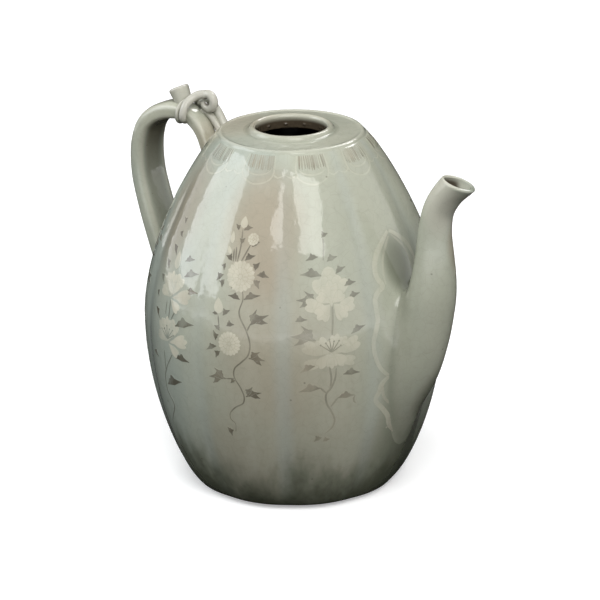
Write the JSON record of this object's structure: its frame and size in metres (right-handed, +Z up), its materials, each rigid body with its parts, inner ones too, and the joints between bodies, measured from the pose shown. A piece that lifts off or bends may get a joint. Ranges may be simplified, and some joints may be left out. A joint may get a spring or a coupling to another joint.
{
  "type": "ewer",
  "caption": "Melon-shaped lobed ceramic ewer with a small round mouth, tall curved spout, strap handle tied with clay vine tendrils, and inlaid flower sprays.",
  "frame": {"origin": "centre of the flat base, on the surface it stands on", "axes": "+X towards the spout, -X towards the handle, +Z up through the mouth"},
  "size_m": [0.256, 0.1756, 0.2296],
  "materials": {
    "celadon_body": "grey-green celadon glaze over stoneware, with white and black inlay under the glaze",
    "celadon_disc": "grey-green celadon glaze, pooled a little round the lip",
    "celadon_lip": "grey-green celadon glaze, a little paler on the lip",
    "celadon_spout": "grey-green celadon glaze",
    "celadon_handle": "grey-green celadon glaze",
    "celadon_vine": "grey-green celadon glaze, thin and warmer on the raised strands"
  },
  "bodies": {
    "root": {"body": "celadon_body", "shoulder_disc": "celadon_disc", "mouth_ring": "celadon_lip", "spout": "celadon_spout", "handle_strap": "celadon_handle", "vine_tie": "celadon_vine", "vine_tie_thin": "celadon_vine", "stalk_stub": "celadon_vine", "tendril_near": "celadon_vine", "tendril_far": "celadon_vine"}
  },
  "joints": []
}
